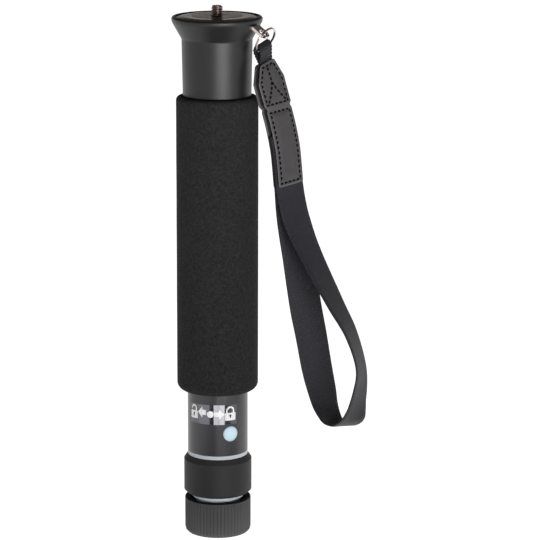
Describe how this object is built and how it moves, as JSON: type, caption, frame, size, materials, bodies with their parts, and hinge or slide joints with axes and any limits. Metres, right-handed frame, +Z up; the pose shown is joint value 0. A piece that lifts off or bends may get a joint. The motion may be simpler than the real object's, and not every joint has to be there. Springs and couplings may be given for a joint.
{
  "type": "camera monopod",
  "caption": "Telescoping camera monopod with twist-lock tubes, foam grip, flared camera platform, rubber foot and wrist strap.",
  "frame": {"origin": "centre of the rubber foot's resting face, on the tubes' axis", "axes": "+Z up along the tubes to the camera stud, -Y towards the label's side, +X towards the strap"},
  "size_m": [0.1064, 0.0698, 0.2919],
  "materials": {
    "head": "satin black",
    "platform": "matte dark",
    "stud": "blackened steel",
    "steel": "zinc plated",
    "chrome": "polished",
    "tube": "anodised dark grey",
    "foam": "fine closed-cell foam",
    "end_ring": "pale grey",
    "label": "glossy film",
    "marker": "pale blue sticker",
    "sleeve": "matte black",
    "foot_rubber": "matte dark grey",
    "inner_plastic": "moulded",
    "collet": "acetal",
    "webbing": "woven nylon",
    "leather": "stitched, grained"
  },
  "bodies": {
    "root": {"head_casting": "head", "platform_pad": "platform", "platform_disc": "platform", "camera_stud": "stud", "stud_nut": "steel", "strap_lug": "chrome", "tube_1": "tube", "foam_grip": "foam", "end_ring_1": "end_ring", "lock_label": "label", "marker_dot": "marker"},
    "collet_2": {"lock_collet_2": "collet"},
    "section_2": {"tube_2": "tube", "lock_cone_2": "inner_plastic", "end_ring_2": "end_ring", "grip_sleeve": "sleeve"},
    "collet_3": {"lock_collet_3": "collet"},
    "section_3": {"tube_3": "tube", "lock_cone_3": "inner_plastic", "end_ring_3": "end_ring"},
    "collet_4": {"lock_collet_4": "collet"},
    "section_4": {"tube_4": "tube", "lock_cone_4": "inner_plastic", "end_ring_4": "end_ring"},
    "collet_5": {"lock_collet_5": "collet"},
    "section_5": {"tube_5": "tube", "lock_cone_5": "inner_plastic", "end_ring_5": "end_ring"},
    "collet_6": {"lock_collet_6": "collet"},
    "section_6": {"tube_6": "tube", "lock_cone_6": "inner_plastic", "end_ring_6": "end_ring"},
    "collet_7": {"lock_collet_7": "collet"},
    "section_7": {"tube_7": "tube", "lock_cone_7": "inner_plastic", "end_ring_7": "end_ring"},
    "collet_8": {"lock_collet_8": "collet"},
    "section_8": {"tube_8": "tube", "lock_cone_8": "inner_plastic", "foot_core": "inner_plastic", "foot_washer": "steel", "foot_screw": "steel", "rubber_foot": "foot_rubber"},
    "ring": {"split_ring": "chrome"},
    "strap": {"strap_hanger": "webbing", "strap_tab_front": "leather", "strap_tab_back": "leather", "strap_webbing": "webbing"}
  },
  "joints": [
    {"name": "slide_2", "type": "slide", "parent": "root", "child": "collet_2", "axis": [0, 0, -1], "range_m": [0, 0.1938]},
    {"name": "twist_2", "type": "hinge", "parent": "collet_2", "child": "section_2", "pos_m": [0, 0, 0.2639], "axis": [0, 0, 1], "range_deg": [0, 90]},
    {"name": "slide_3", "type": "slide", "parent": "section_2", "child": "collet_3", "axis": [0, 0, -1], "range_m": [0, 0.2053]},
    {"name": "twist_3", "type": "hinge", "parent": "collet_3", "child": "section_3", "pos_m": [0, 0, 0.2514], "axis": [0, 0, 1], "range_deg": [0, 90]},
    {"name": "slide_4", "type": "slide", "parent": "section_3", "child": "collet_4", "axis": [0, 0, -1], "range_m": [0, 0.195]},
    {"name": "twist_4", "type": "hinge", "parent": "collet_4", "child": "section_4", "pos_m": [0, 0, 0.2389], "axis": [0, 0, 1], "range_deg": [0, 90]},
    {"name": "slide_5", "type": "slide", "parent": "section_4", "child": "collet_5", "axis": [0, 0, -1], "range_m": [0, 0.1847]},
    {"name": "twist_5", "type": "hinge", "parent": "collet_5", "child": "section_5", "pos_m": [0, 0, 0.2264], "axis": [0, 0, 1], "range_deg": [0, 90]},
    {"name": "slide_6", "type": "slide", "parent": "section_5", "child": "collet_6", "axis": [0, 0, -1], "range_m": [0, 0.1744]},
    {"name": "twist_6", "type": "hinge", "parent": "collet_6", "child": "section_6", "pos_m": [0, 0, 0.2139], "axis": [0, 0, 1], "range_deg": [0, 90]},
    {"name": "slide_7", "type": "slide", "parent": "section_6", "child": "collet_7", "axis": [0, 0, -1], "range_m": [0, 0.1641]},
    {"name": "twist_7", "type": "hinge", "parent": "collet_7", "child": "section_7", "pos_m": [0, 0, 0.2014], "axis": [0, 0, 1], "range_deg": [0, 90]},
    {"name": "slide_8", "type": "slide", "parent": "section_7", "child": "collet_8", "axis": [0, 0, -1], "range_m": [0, 0.1538]},
    {"name": "twist_8", "type": "hinge", "parent": "collet_8", "child": "section_8", "pos_m": [0, 0, 0.1889], "axis": [0, 0, 1], "range_deg": [0, 90]},
    {"name": "ring_swivel", "type": "hinge", "parent": "root", "child": "ring", "pos_m": [0.02413, -0.01715, 0.2789], "axis": [0.4558, -0.3239, 0.829], "range_deg": [-60, 20]},
    {"name": "strap_swing", "type": "hinge", "parent": "ring", "child": "strap", "pos_m": [0.02407, -0.00848, 0.26923], "axis": [-0.7903, -0.6001, -0.1241], "range_deg": [0, 95]}
  ]
}
